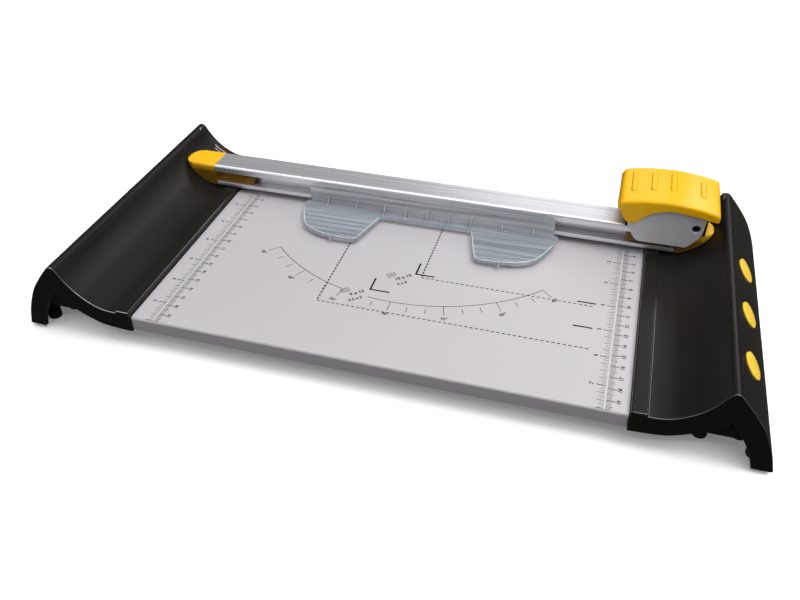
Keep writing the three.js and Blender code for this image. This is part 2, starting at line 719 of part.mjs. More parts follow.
// Saddle over the rail, with a rear block that guides the blade cartridge
function carriageBody() {
  const sideShape = outline([
    [158.5, 33.5],
    [184, 33.5],
    [190, 40],
    [196.9, 50],
    [196.9, 55],
    [143, 55],
    [143, 48.5],
    [148.5, 40],
  ]);
  const frontShape = outline([
    [143, 48],
    [196.9, 48],
    [196.9, 61.2],
    [190, 62.4],
    [176, 63.8],
    [166, 62.8],
    [160, 60.4],
    [154.5, 56],
    [143, 55],
  ]);
  const parts = [
    alongY(sideShape, 80.7, 100.5),
    alongY(frontShape, BODY_FRONT, 59.6),
    box(143, 196.9, BODY_FRONT, 81, 48, 50.5),
    box(143.5, 151.5, 65.8, 89.3, 48, PIN_Z),
    rodY(PIN_X, PIN_Z, 4, 65.8, 89.3, 24),
    rodY(SCREW_X, SCREW_Z, 5.4, 59, 67.5),
    postZ(SPRING_X, SPRING_Y, 2.4, 50, 54),
  ];
  return without(union(parts), [
    box(154.6, 187.4, 87.9, 98.2, 30, 60),
    box(151.7, 190.3, 61.7, 75.3, 47, 49.3),
    box(151.7, 190.3, 79, 84.3, GROOVE_LOW + 0.2, GROOVE_HIGH - 0.2),
    rodY(PIN_X, PIN_Z, 1.6, 60, 95, 16),
    box(142, 152, 89.3, 94.3, 54.7, 60),
    rodY(SCREW_X, SCREW_Z, 4.3, 50, 59.3),
    rodY(SCREW_X, SCREW_Z, 1.4, 55, 67, 16),
  ]);
}

function eClip() {
  const r = 2.8;
  const shape = new THREE.Shape();
  shape.absarc(0, 0, r, Math.PI * 0.2, Math.PI * 1.8);
  shape.absarc(0, 0, 1.15, Math.PI * 1.8, Math.PI * 0.2, true);
  const geometry = alongZ(shape, 0, 0.7, 12).rotateX(Math.PI / 2);
  return solid(geometry.translate(PIN_X, 96.2, PIN_Z));
}

function leverPin() {
  return union([
    rodY(PIN_X, PIN_Z, 2.4, 59.9, 60.9, 20),
    rodY(PIN_X, PIN_Z, 1.5, 60.8, 95.2, 16),
    rodY(PIN_X, PIN_Z, 1, 95.1, 96.5, 16),
    rodY(PIN_X, PIN_Z, 1.5, 96.4, 97.2, 16),
  ]);
}

// Coil spring with a closed turn at each end
class CoilPath extends THREE.Curve {
  getPoint(t) {
    const turns = 6.5;
    const angle = t * turns * Math.PI * 2;
    const wire = 0.45;
    const low = SPRING_LOW + wire;
    const high = SPRING_HIGH - wire;
    const rise = THREE.MathUtils.smoothstep(t, 0.08, 0.92) * 0.35 + t * 0.65;
    return new THREE.Vector3(3.6 * Math.cos(angle), 3.6 * Math.sin(angle), low + (high - low) * rise);
  }
}

function leverSpring() {
  const wire = new THREE.Shape();
  wire.absarc(0, 0, 0.45, 0, Math.PI * 2);
  const geometry = new THREE.ExtrudeGeometry(wire, {
    steps: 84,
    extrudePath: new CoilPath(),
    curveSegments: 3,
  });
  return solid(geometry).translate([SPRING_X, SPRING_Y, 0]);
}

const CARTRIDGE_EDGE = [
  [159.5, 34],
  [181.5, 34],
  [186.5, 41.5],
  [186.5, 58],
  [155.5, 58],
  [155.5, 41.5],
];
const AXLE_RADIUS = 2.5;

function cartridgeBody() {
  const parts = [
    alongY(outline(CARTRIDGE_EDGE), 88.3, 91.6),
    box(155.5, 186.5, 91.5, 94.2, 56.6, 58),
    box(PRESS_X - 3.5, PRESS_X + 3.5, 88.3, 97.4, 57.5, 64),
  ];
  const axleHole = rodY(HEAD_X, BLADE_Z, AXLE_RADIUS + 0.2, 85, 100, 20);
  const clipSeat = rodY(HEAD_X, BLADE_Z, 4.6, 85, 89.7, 20);
  return without(union(parts), [axleHole, clipSeat]);
}

function cartridgeCap() {
  const edge = outline([
    [159.5, 34],
    [181.5, 34],
    [186.5, 41.5],
    [186.5, 57.2],
    [155.5, 57.2],
    [155.5, 41.5],
  ]);
  const plate = alongY(edge, 94.5, 97.8);
  return without(plate, [
    rodY(HEAD_X, BLADE_Z, AXLE_RADIUS + 0.2, 85, 100, 20),
    rodY(HEAD_X, BLADE_Z, 4.6, 96.4, 100, 20),
  ]);
}

function bladeAxle() {
  return union([
    rodY(HEAD_X, BLADE_Z, 4.2, 96.7, 97.8, 24),
    rodY(HEAD_X, BLADE_Z, AXLE_RADIUS, 89, 96.8, 20),
    rodY(HEAD_X, BLADE_Z, 1.6, 88.4, 89.1, 16),
  ]);
}

function axleWasher() {
  return rodY(HEAD_X, BLADE_Z, 4.2, 88.4, 88.8, 24).subtract(rodY(HEAD_X, BLADE_Z, 1.8, 80, 90, 24));
}

function rotaryBlade() {
  const half = BLADE_THICK / 2;
  const bevelStart = BLADE_RADIUS - 2;
  const hub = AXLE_RADIUS + 0.1;
  const shape = vectors([
    [hub, -half],
    [bevelStart, -half],
    [BLADE_RADIUS, 0],
    [bevelStart, half],
    [hub, half],
    [hub, -half],
  ]);
  const disc = new THREE.LatheGeometry(shape, 48);
  return solid(disc.translate(HEAD_X, CUT_Y, BLADE_Z));
}

// ---- Assembly ----

place("base_board", board(), BOARD_GREY);
place("cutting_strip", box(-155.7, 155.7, CUT_Y - 3.2, CUT_Y + 3.2, 22.7, BOARD_TOP), 0x8d9095);
place("tray_right", rightTray(true), BLACK, { roughness: 0.45 });
place("tray_left", mirroredX(rightTray(false)), BLACK, { roughness: 0.45 });
INSERT_YS.forEach((y, i) => place("flank_insert_" + (i + 1), flankInsert(y), YELLOW));
for (const [side, mark] of [
  [-1, "left"],
  [1, "right"],
]) {
  FOOT_PLACES.forEach(([x, y], i) => place(`foot_${mark}_${i + 1}`, rubberFoot(side * x, y), RUBBER));
  BOARD_SCREW_YS.forEach((y, i) =>
    place(`board_screw_${mark}_${i + 1}`, screwUp(side * BOARD_SCREW_X, y, 9.2, 11.5, 3.5, 1.4, 20.5), STEEL),
  );
  place(`rail_screw_${mark}`, screwUp(side * RAIL_SCREW_X, RAIL_SCREW_Y, 23.9, 26.3, 2.2, 1.4, 36), STEEL);
  place(`stop_buffer_${mark}`, stopBuffer(side), RUBBER);
}
place("rail", rail(), SILVER, { metalness: 0.8, roughness: 0.35 });
place("rail_cap_right", rightCap(RAIL_RIGHT), YELLOW);
place("rail_cap_left", mirroredX(rightCap(-RAIL_LEFT)), YELLOW);
place("clear_guard", guard(), CLEAR, { transparent: true, opacity: 0.55 });
place("carriage_body", carriageBody(), BLACK);
place("glide_shoe_top", box(152, 190, 62, 75, 47.8, 49), NYLON);
place("glide_shoe_rear", box(152, 190, 76.4, 84, 37.5, 40.9), NYLON);
place("front_cover", frontCover(), COVER_GREY);
place("cover_screw", coverScrew(), STEEL);
place("lever_pin", leverPin(), STEEL);
place("pin_clip", eClip(), STEEL);
place("lever_spring", leverSpring(), STEEL);
place("press_lever", pressLever(), YELLOW);
place("cartridge_body", cartridgeBody(), BLACK);
place("cartridge_cap", cartridgeCap(), BLACK);
place("blade_axle", bladeAxle(), STEEL);
place("axle_washer", axleWasher(), STEEL);
place("rotary_blade", rotaryBlade(), STEEL, { metalness: 0.9, roughness: 0.2 });

export default trimmer;
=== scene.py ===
import json
import math

import bmesh
import bpy
from mathutils import Euler, Matrix, Vector


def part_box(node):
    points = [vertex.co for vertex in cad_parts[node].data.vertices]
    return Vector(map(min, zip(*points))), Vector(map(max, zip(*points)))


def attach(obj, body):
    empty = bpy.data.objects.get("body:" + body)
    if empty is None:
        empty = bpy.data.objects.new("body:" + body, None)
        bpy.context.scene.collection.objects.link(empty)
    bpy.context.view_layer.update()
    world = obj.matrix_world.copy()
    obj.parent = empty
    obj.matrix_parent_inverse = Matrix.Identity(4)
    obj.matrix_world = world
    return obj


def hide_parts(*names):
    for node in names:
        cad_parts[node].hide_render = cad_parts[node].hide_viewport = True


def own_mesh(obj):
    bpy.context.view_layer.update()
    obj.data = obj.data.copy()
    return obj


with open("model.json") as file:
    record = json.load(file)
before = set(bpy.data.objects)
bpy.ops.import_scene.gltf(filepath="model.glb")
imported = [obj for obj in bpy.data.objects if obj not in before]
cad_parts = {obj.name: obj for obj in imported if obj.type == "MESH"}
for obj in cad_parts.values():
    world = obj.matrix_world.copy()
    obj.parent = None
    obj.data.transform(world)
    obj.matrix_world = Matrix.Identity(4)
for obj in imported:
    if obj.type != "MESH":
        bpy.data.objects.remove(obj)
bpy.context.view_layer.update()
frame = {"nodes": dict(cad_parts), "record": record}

# Rotary paper trimmer, the looks: edge rounding, printed scales, materials, studio light and camera.
# Metres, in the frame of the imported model: +X along the rail, +Y to the back, +Z up, the table at Z = 0.

MM = 0.001
scene = bpy.context.scene
nodes = frame["nodes"]
slot_of = {part["node"]: part["material_slot"] for part in frame["record"]["subparts"]}


# ---- Node tree helpers ----

RANGE_SOCKETS = ("From Min", "From Max", "To Min", "To Max")


class Look:
    """A Principled material, and short calls that build its procedural nodes."""

    def __init__(self, name, **sockets):
        self.material = bpy.data.materials.new(name)
        self.material.use_nodes = True
        self.tree = self.material.node_tree
        self.bsdf = self.tree.nodes["Principled BSDF"]
        for socket, value in sockets.items():
            self.set(socket.replace("_", " "), value)
        self.place = self.tree.nodes.new("ShaderNodeTexCoord").outputs["Object"]

    def set(self, socket, value):
        self.bsdf.inputs[socket].default_value = value

    def feed(self, socket, output):
        self.tree.links.new(output, self.bsdf.inputs[socket])

    def stretched(self, scale):
        """Object coordinates scaled by a vector, for streaks along one axis."""
        node = self.tree.nodes.new("ShaderNodeMapping")
        node.inputs["Scale"].default_value = scale
        self.tree.links.new(self.place, node.inputs["Vector"])
        return node.outputs["Vector"]

    def noise(self, scale, detail=3.0, roughness=0.5, vector=None):
        node = self.tree.nodes.new("ShaderNodeTexNoise")
        node.inputs["Scale"].default_value = scale
        node.inputs["Detail"].default_value = detail
        node.inputs["Roughness"].default_value = roughness
        self.tree.links.new(vector or self.place, node.inputs["Vector"])
        return node.outputs["Fac"]

    def span(self, output, from_low, from_high, to_low, to_high):
        """output, mapped from one range to another and clamped."""
        node = self.tree.nodes.new("ShaderNodeMapRange")
        for socket, value in zip(RANGE_SOCKETS, (from_low, from_high, to_low, to_high)):
            node.inputs[socket].default_value = value
        self.tree.links.new(output, node.inputs["Value"])
        return node.outputs["Result"]

    def math(self, operation, a, b):
        node = self.tree.nodes.new("ShaderNodeMath")
        node.operation = operation
        for socket, value in zip(node.inputs, (a, b)):
            if isinstance(value, (int, float)):
                socket.default_value = value
            else:
                self.tree.links.new(value, socket)
        return node.outputs[0]

    def blend(self, factor, low, high):
        """A colour between low and high; each is a colour or a colour output."""
        node = self.tree.nodes.new("ShaderNodeMix")
        node.data_type = "RGBA"
        self.tree.links.new(factor, node.inputs[0])
        for socket, value in ((node.inputs[6], low), (node.inputs[7], high)):
            if isinstance(value, tuple):
                socket.default_value = (*value, 1)
            else:
                self.tree.links.new(value, socket)
        return node.outputs[2]

    def bump(self, height, distance, strength=1.0):
        node = self.tree.nodes.new("ShaderNodeBump")
        node.inputs["Distance"].default_value = distance
        node.inputs["Strength"].default_value = strength
        self.tree.links.new(height, node.inputs["Height"])
        self.feed("Normal", node.outputs["Normal"])

    def along(self, axis):
        """The place along one axis of the object."""
        node = self.tree.nodes.new("ShaderNodeSeparateXYZ")
        self.tree.links.new(self.place, node.inputs[0])
        return node.outputs[axis]

    def squared(self, axis):
        """The square of the place along one axis."""
        return self.math("POWER", self.along(axis), 2.0)

    def turned_to(self, axis):
        """How far the surface faces along the axis, from -1 to 1."""
        node = self.tree.nodes.new("ShaderNodeSeparateXYZ")
        facing = self.tree.nodes.new("ShaderNodeNewGeometry").outputs["Normal"]
        self.tree.links.new(facing, node.inputs[0])
        return node.outputs[axis]


# ---- Materials ----

RAIL_LOW, RAIL_HIGH = (corner.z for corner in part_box("rail"))
# Heights of the rail caps' painted shade: dark amber below the first, yellow above the second.
CAP_PAINTED_SHADE_BELOW = RAIL_LOW + 0.64 * (RAIL_HIGH - RAIL_LOW)
CAP_UNSHADED_ABOVE = RAIL_HIGH - 1.0 * MM


def grained(name, low, high, wide, fine, gloss, relief, **sockets):
    """A moulded plastic whose colour drifts between low and high, with a fine grain in gloss and relief."""
    look = Look(name, **sockets)
    cloud = look.noise(wide, 3)
    grain = look.noise(fine, 2)
    look.feed("Base Color", look.blend(cloud, low, high))
    look.feed("Roughness", look.span(grain, 0.3, 0.7, *gloss))
    look.bump(grain, *relief)
    return look.material


def black_plastic():
    look = Look("black_abs", Specular_IOR_Level=0.15, Specular_Tint=(1, 0.92, 0.86, 1))
    wide = look.noise(26, 4)
    fine = look.noise(2600, 2)
    look.feed("Base Color", look.blend(wide, (0.0078, 0.0070, 0.0064), (0.0110, 0.0100, 0.0092)))
    mixed = look.math("ADD", wide, look.math("MULTIPLY", fine, 0.5))
    look.feed("Roughness", look.span(mixed, 0.4, 1.1, 0.32, 0.44))
    look.bump(fine, 0.00004, 0.5)
    return look.material


def polished_edge(name, painted_highlight):
    """The same black, with a painted highlight: the rounded edges are pale where they turn from the top to
    the front.
    """
    look = Look(name, Specular_IOR_Level=0.6)
    fine = look.noise(900, 3)
    dark = (0.0085, 0.0077, 0.0070)
    # Painted highlight: the colour turns pale where the surface faces up and to the front.
    up = look.span(look.turned_to("Z"), 0.25, 0.7, 0, 1)
    front = look.span(look.math("MULTIPLY", look.turned_to("Y"), -1.0), 0.12, 0.4, 0, 1)
    shown = look.math("MULTIPLY", look.math("MULTIPLY", up, front), look.span(fine, 0.2, 0.8, 0.75, 1))
    look.feed("Base Color", look.blend(shown, dark, painted_highlight))
    look.feed("Roughness", look.span(fine, 0.3, 0.7, 0.15, 0.28))
    return look.material


def board_paint():
    look = Look("board_lacquer", Metallic=0.0, Specular_IOR_Level=0.5)
    fleck = look.noise(2400, 2, 0.7)
    cloud = look.noise(14, 3)
    tone = look.blend(look.span(fleck, 0.3, 0.7, 0, 1), (0.385, 0.368, 0.388), (0.49, 0.472, 0.494))
    look.feed("Base Color", look.blend(look.span(cloud, 0.35, 0.65, 0, 0.2), tone, (0.47, 0.453, 0.473)))
    look.feed("Roughness", look.span(fleck, 0.3, 0.7, 0.28, 0.4))
    look.bump(look.noise(1900, 2), 0.00003, 0.4)
    return look.material


def strip_plastic():
    look = Look("cutting_mat", Roughness=0.6)
    score = look.noise(1.0, 3, 0.6, look.stretched((60, 9000, 9000)))
    look.feed("Base Color", look.blend(score, (0.19, 0.20, 0.215), (0.29, 0.30, 0.32)))
    look.bump(score, 0.00005, 0.6)
    return look.material


def yellow_plastic():
    return grained(
        "yellow_abs", (0.79, 0.42, 0.004), (0.84, 0.455, 0.006), 35, 1400, (0.2, 0.32), (0.00001, 0.2),
        Specular_IOR_Level=0.2, Coat_Weight=0.03, Coat_Roughness=0.1,
    )


def pale_yellow_plastic():
    return grained(
        "yellow_insert_abs", (0.90, 0.58, 0.035), (0.98, 0.67, 0.07), 45, 1400, (0.24, 0.34), (0.00001, 0.2),
        Specular_IOR_Level=0.4,
    )


def cap_plastic():
    """Yellow, with painted shade: dark amber at the foot of the rail caps, where the rail's lip shades them,
    fading to yellow at the top.
    """
    look = Look("yellow_cap_abs_painted_shade", Specular_IOR_Level=0.35)
    fine = look.noise(1400, 2)
    # Painted shade by height: 0 at the dark amber foot, 1 at the yellow top, plus a little random mottle.
    height = look.span(look.along("Z"), CAP_PAINTED_SHADE_BELOW, CAP_UNSHADED_ABOVE, 0, 1)
    shade_and_mottle = look.math("ADD", height, look.span(look.noise(70, 3), 0.3, 0.7, -0.06, 0.06))
    look.feed("Base Color", look.blend(shade_and_mottle, (0.17, 0.085, 0.006), (0.83, 0.46, 0.012)))
    look.feed("Roughness", look.span(fine, 0.3, 0.7, 0.2, 0.32))
    look.bump(fine, 0.00001, 0.2)
    return look.material


def grey_plastic():
    return grained(
        "grey_satin_abs", (0.53, 0.525, 0.545), (0.61, 0.605, 0.63), 60, 2200, (0.3, 0.44), (0.00003, 0.4),
        Metallic=0.25,
    )


def clear_plastic():
    """Hazy and streaked along X, with a painted sheen: paler on the faces that stand upright to the front."""
    look = Look("smoked_clear_styrene", Alpha=0.46, Specular_IOR_Level=0.6)
    haze = look.noise(1.0, 3, 0.6, look.stretched((7, 330, 330)))
    contrast = look.span(haze, 0.36, 0.64, 0, 1)
    streaks = look.blend(contrast, (0.22, 0.255, 0.295), (0.48, 0.525, 0.58))
    # Painted sheen: a much paler colour for the faces that stand to the front.
    web_painted_sheen = look.blend(contrast, (0.42, 0.45, 0.49), (0.95, 0.97, 1.0))
    upright = look.span(look.math("MULTIPLY", look.turned_to("Y"), -1.0), 0.5, 0.9, 0, 1)
    look.feed("Base Color", look.blend(upright, streaks, web_painted_sheen))
    look.feed("Roughness", look.span(haze, 0.3, 0.7, 0.1, 0.24))
    look.bump(haze, 0.0002, 0.6)
    return look.material


def lit_edge_plastic():
    """The same clear plastic, painted pale along a rolled edge: a painted highlight where the edge gathers
    the light.
    """
    look = Look("clear_styrene_rim_painted_highlight", Alpha=0.8, Specular_IOR_Level=0.7)
    haze = look.noise(420, 3, 0.6)
    contrast = look.span(haze, 0.35, 0.65, 0, 1)
    look.feed("Base Color", look.blend(contrast, (0.70, 0.75, 0.79), (0.95, 0.97, 0.99)))
    look.feed("Roughness", look.span(haze, 0.3, 0.7, 0.08, 0.2))
    return look.material


def black_screw_steel():
    return steel("blackened_steel", (0.035, 0.035, 0.037), 0.35, 0.5)


def nylon():
    look = Look("nylon", Roughness=0.5)
    fine = look.noise(900, 3)
    look.feed("Base Color", look.blend(fine, (0.72, 0.70, 0.63), (0.83, 0.81, 0.76)))
    look.bump(fine, 0.00003, 0.5)
    return look.material


def aluminium():
    look = Look("brushed_aluminium", Metallic=0.85)
    brush = look.noise(1.0, 5, 0.65, look.stretched((5, 2600, 2600)))
    band = look.noise(1.0, 2, 0.5, look.stretched((1.5, 380, 380)))
    mixed = look.math("ADD", look.math("MULTIPLY", brush, 0.55), look.math("MULTIPLY", band, 0.45))
    contrast = look.span(mixed, 0.36, 0.64, 0, 1)
    look.feed("Base Color", look.blend(contrast, (0.66, 0.65, 0.69), (0.93, 0.92, 0.95)))
    look.feed("Roughness", look.span(brush, 0.3, 0.7, 0.28, 0.44))
    look.bump(brush, 0.00004, 0.5)
    return look.material


def steel(name="plated_steel", color=(0.55, 0.55, 0.56), low=0.22, high=0.4):
    look = Look(name, Metallic=1.0)
    fine = look.noise(700, 4, 0.6)
    darker = tuple(channel * 0.82 for channel in color)
    look.feed("Base Color", look.blend(fine, darker, color))
    look.feed("Roughness", look.span(fine, 0.3, 0.7, low, high))
    look.bump(look.noise(2400, 2), 0.00002, 0.3)
    return look.material


def blade_steel():
    return steel("ground_blade_steel", (0.66, 0.67, 0.69), 0.12, 0.26)


def rubber():
    look = Look("black_rubber", Specular_IOR_Level=0.3)
    fine = look.noise(1800, 3)
    look.feed("Base Color", look.blend(fine, (0.009, 0.009, 0.009), (0.018, 0.018, 0.018)))
    look.feed("Roughness", look.span(fine, 0.3, 0.7, 0.68, 0.85))
    look.bump(fine, 0.00005, 0.6)
    return look.material


def ink(name, color):
    look = Look(name, Specular_IOR_Level=0.12)
    fine = look.noise(3000, 2)
    lighter = tuple(channel * 1.5 for channel in color)
    look.feed("Base Color", look.blend(fine, color, lighter))
    look.feed("Roughness", look.span(fine, 0.3, 0.7, 0.42, 0.58))
    return look.material


# ---- Rounded edges on the moulded parts ----

def geometry_group(name):
    tree = bpy.data.node_groups.new(name, "GeometryNodeTree")
    tree.interface.new_socket("Geometry", in_out="INPUT", socket_type="NodeSocketGeometry")
    tree.interface.new_socket("Geometry", in_out="OUTPUT", socket_type="NodeSocketGeometry")
    return tree, tree.nodes.new("NodeGroupInput").outputs[0], tree.nodes.new("NodeGroupOutput").inputs[0]


def joined_group():
    """Merges the facets' shared corners and drops the flat normals of the exchange file."""
    tree, source, target = geometry_group("joined_facets")
    flow = source
    for attribute in ("custom_normal", "sharp_edge", "sharp_face"):
        drop = tree.nodes.new("GeometryNodeRemoveAttribute")
        drop.inputs["Name"].default_value = attribute
        tree.links.new(flow, drop.inputs["Geometry"])
        flow = drop.outputs["Geometry"]
    merge = tree.nodes.new("GeometryNodeMergeByDistance")
    merge.inputs["Distance"].default_value = 2e-6
    tree.links.new(flow, merge.inputs["Geometry"])
    tree.links.new(merge.outputs["Geometry"], target)
    return tree


def smooth_group(degrees):
    """Shades smooth, with edges sharper than the angle kept sharp."""
    tree, source, target = geometry_group(f"smooth_{degrees}")
    angle = tree.nodes.new("GeometryNodeInputMeshEdgeAngle")
    sharp = tree.nodes.new("FunctionNodeCompare")
    sharp.operation = "GREATER_THAN"
    sharp.inputs[1].default_value = math.radians(degrees)
    tree.links.new(angle.outputs["Unsigned Angle"], sharp.inputs[0])
    faces = tree.nodes.new("GeometryNodeSetShadeSmooth")
    edges = tree.nodes.new("GeometryNodeSetShadeSmooth")
    edges.domain = "EDGE"
    edges.inputs["Shade Smooth"].default_value = False
    tree.links.new(source, faces.inputs["Geometry"])
    tree.links.new(faces.outputs["Geometry"], edges.inputs["Geometry"])
    tree.links.new(sharp.outputs[0], edges.inputs["Selection"])
    tree.links.new(edges.outputs["Geometry"], target)
    return tree


def weight_group(name, degrees, shortest, lowest):
    """Marks for rounding the edges that are sharper than the angle, longer than shortest and above lowest."""
    tree, source, target = geometry_group(name)
    angle = tree.nodes.new("GeometryNodeInputMeshEdgeAngle").outputs["Unsigned Angle"]
    ends = tree.nodes.new("GeometryNodeInputMeshEdgeVertices")
    span = tree.nodes.new("ShaderNodeVectorMath")
    span.operation = "DISTANCE"
    tree.links.new(ends.outputs["Position 1"], span.inputs[0])
    tree.links.new(ends.outputs["Position 2"], span.inputs[1])
    tests = [(angle, math.radians(degrees)), (span.outputs["Value"], shortest)]
    for end in ("Position 1", "Position 2"):
        split = tree.nodes.new("ShaderNodeSeparateXYZ")
        tree.links.new(ends.outputs[end], split.inputs[0])
        tests.append((split.outputs["Z"], lowest))
    weight = None
    for value, limit in tests:
        over = tree.nodes.new("ShaderNodeMath")
        over.operation = "GREATER_THAN"
        over.inputs[1].default_value = limit
        tree.links.new(value, over.inputs[0])
        if weight is None:
            weight = over.outputs[0]
            continue
        both = tree.nodes.new("ShaderNodeMath")
        both.operation = "MULTIPLY"
        tree.links.new(weight, both.inputs[0])
        tree.links.new(over.outputs[0], both.inputs[1])
        weight = both.outputs[0]
    store = tree.nodes.new("GeometryNodeStoreNamedAttribute")
    store.data_type = "FLOAT"
    store.domain = "EDGE"
    store.inputs["Name"].default_value = "bevel_weight_edge"
    tree.links.new(source, store.inputs["Geometry"])
    tree.links.new(weight, store.inputs["Value"])
    tree.links.new(store.outputs["Geometry"], target)
    return tree


JOINED = joined_group()
SMOOTH = smooth_group(32)
SHARP_ANGLE = 34
EVERYWHERE = -1.0
MARKED = weight_group("rounded_edges", SHARP_ANGLE, 0.5 * MM, EVERYWHERE)
TRAY_MARKED = weight_group("rounded_tray_edges", SHARP_ANGLE, 0.25 * MM, 0.001 * MM)


def finish_edges(piece, width, marked, segments=3):
    """Modifiers that join the facets, round the marked edges by width, and shade the rest smooth."""
    piece.modifiers.new("joined", "NODES").node_group = JOINED
    flat = piece.modifiers.new("flat_faces", "DECIMATE")
    flat.decimate_type = "DISSOLVE"
    flat.angle_limit = math.radians(0.5)
    piece.modifiers.new("marked", "NODES").node_group = marked
    bevel = piece.modifiers.new("edge_round", "BEVEL")
    bevel.width = width
    bevel.segments = segments
    bevel.limit_method = "WEIGHT"
    bevel.use_clamp_overlap = False
    bevel.harden_normals = False
    piece.modifiers.new("smooth", "NODES").node_group = SMOOTH
    piece.modifiers.new("even_normals", "WEIGHTED_NORMAL").keep_sharp = True
    return bevel


EDGE_WIDTHS = {
    "tray": 0.6 * MM,
    "base_board": 0.3 * MM,
    "rail_cap": 0.5 * MM,
    "rail": 0.25 * MM,
    "clear_guard": 0.2 * MM,
    "press_lever": 0.35 * MM,
    "front_cover": 0.3 * MM,
    "carriage_body": 0.3 * MM,
    "flank_insert": 0.3 * MM,
    "foot": 0.3 * MM,
    "cartridge": 0.3 * MM,
    "glide_shoe": 0.3 * MM,
    "stop_buffer": 0.3 * MM,
    "cutting_strip": 0.1 * MM,
}


def edge_width(name):
    fits = [key for key in EDGE_WIDTHS if name.startswith(key)]
    return EDGE_WIDTHS[max(fits, key=len)] if fits else 0.12 * MM


# ---- Print on the board ----

LETTER_SHARE = 0.72
STROKE_GROWTH = 0.12 * MM


class Film:
    """Thin closed ink patches on the board's top, gathered in one mesh.

    Places are in mm: x from the middle, y from the cutting line. A text's height is that of its digits.
    """

    def __init__(self, low, high):
        self.low, self.high = low, high
        self.mesh = bmesh.new()

    def patch(self, corners):
        rings = []
        for height in (self.low, self.high):
            rings.append([self.mesh.verts.new((x * MM, CUT_Y + y * MM, height)) for x, y in corners])
        under, over = rings
        self.mesh.faces.new(over)
        self.mesh.faces.new(reversed(under))
        for i in range(len(corners)):
            j = (i + 1) % len(corners)
            self.mesh.faces.new((under[i], under[j], over[j], over[i]))

    def bar(self, x0, y0, x1, y1, width):
        """A straight stroke from one point to the other."""
        along = Vector((x1 - x0, y1 - y0)).normalized()
        side = Vector((-along.y, along.x)) * (width / 2)
        ends = [Vector((x0, y0)), Vector((x1, y1))]
        self.patch([tuple(end) for end in (ends[0] - side, ends[1] - side, ends[1] + side, ends[0] + side)])

    def dashes(self, x0, y0, x1, y1, width, dash, gap):
        start = Vector((x0, y0))
        way = Vector((x1 - x0, y1 - y0))
        count = int(way.length // (dash + gap))
        step = way.normalized()
        for i in range(count + 1):
            a = start + step * (i * (dash + gap))
            b = a + step * min(dash, way.length - i * (dash + gap))
            if (b - a).length > 0.2:
                self.bar(a.x, a.y, b.x, b.y, width)

    def arc(self, radius, from_deg, to_deg, width, step_deg=1.5):
        """An arc about the point on the cutting line; 90 degrees points straight to the front."""
        count = max(1, round(abs(to_deg - from_deg) / step_deg))
        turns = [math.radians(from_deg + (to_deg - from_deg) * i / count) for i in range(count + 1)]
        near = [((radius - width / 2) * math.cos(t), -(radius - width / 2) * math.sin(t)) for t in turns]
        far = [((radius + width / 2) * math.cos(t), -(radius + width / 2) * math.sin(t)) for t in turns]
        for i in range(count):
            self.patch([near[i], near[i + 1], far[i + 1], far[i]][::-1])

    def text(self, body, x, y, height, turn):
        """Numbers in the plain built-in typeface, centred on the place."""
        curve = bpy.data.curves.new("label", "FONT")
        curve.body = body
        curve.size = height * MM / LETTER_SHARE
        curve.align_x = "CENTER"
        curve.align_y = "CENTER"
        curve.extrude = (self.high - self.low) / 2
        curve.resolution_u = 2
        curve.offset = STROKE_GROWTH
        label = bpy.data.objects.new("label", curve)
        flat = bpy.data.meshes.new_from_object(label)
        place = Matrix.Translation((x * MM, CUT_Y + y * MM, (self.low + self.high) / 2))
        flat.transform(place @ Matrix.Rotation(math.radians(turn), 4, "Z"))
        self.mesh.from_mesh(flat)
        bpy.data.objects.remove(label)
        bpy.data.curves.remove(curve)
        bpy.data.meshes.remove(flat)

    def piece(self, name, material):
        bmesh.ops.remove_doubles(self.mesh, verts=self.mesh.verts, dist=1e-8)
        bmesh.ops.recalc_face_normals(self.mesh, faces=self.mesh.faces)
        data = bpy.data.meshes.new(name)
        self.mesh.to_mesh(data)
        self.mesh.free()
        data.materials.append(material)
        made = bpy.data.objects.new(name, data)
        scene.collection.objects.link(made)
        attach(made, "base")
        return made


blade_low, blade_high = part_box("rotary_blade")
CUT_Y = (blade_low.y + blade_high.y) / 2
board_low, board_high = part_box("base_board")
BOARD_TOP = board_high.z
INK_LOW = BOARD_TOP - 0.005 * MM
INK_HIGH = BOARD_TOP + 0.02 * MM

SCALE_X = {1: 145.8, -1: -144.1}
SCALE_START = -33.0
SCALE_END = -197.0
INCH = 25.4
LINE_HALF_GAP = 0.6
# How often a tick comes, its length and its width, longest first
CENTIMETRE_TICKS = [(10, 5.4, 0.6), (5, 4.2, 0.36), (1, 3.3, 0.25)]
INCH_TICKS = [(16, 5.6, 0.6), (4, 4.6, 0.36), (2, 3.6, 0.27), (1, 2.6, 0.22)]
PROTRACTOR_RADIUS = 136.4
PROTRACTOR_ARCS = [(45, 97), (105.5, 135)]
PROTRACTOR_NUMBER_OUT = 13.0
HIDDEN_TICK = 100


def tick_row(film, x, way, step, sizes):
    """Ticks every step mm from the scale's start to its end; the first of sizes that fits a tick is used."""
    count = int(-SCALE_END / step)
    for i in range(1, count + 1):
        y = -i * step
        if y > SCALE_START or y < SCALE_END - 0.5:
            continue
        length, width = next((size[1], size[2]) for size in sizes if i % size[0] == 0)
        film.bar(x, y, x + way * length, y, width)


def ruler(film, side):
    """Centimetres on one side of the white line and inches on the other, numbered towards the front."""
    x = SCALE_X[side]
    tick_row(film, x + LINE_HALF_GAP, 1, 1.0, CENTIMETRE_TICKS)
    tick_row(film, x - LINE_HALF_GAP, -1, INCH / 16, INCH_TICKS)
    for centimetre in range(4, 20):
        film.text(str(centimetre), x + 8.0, -10 * centimetre, 2.5, 90)
    for inch in range(2, 8):
        film.text(str(inch), x - 8.9, -INCH * inch, 2.6, 90)


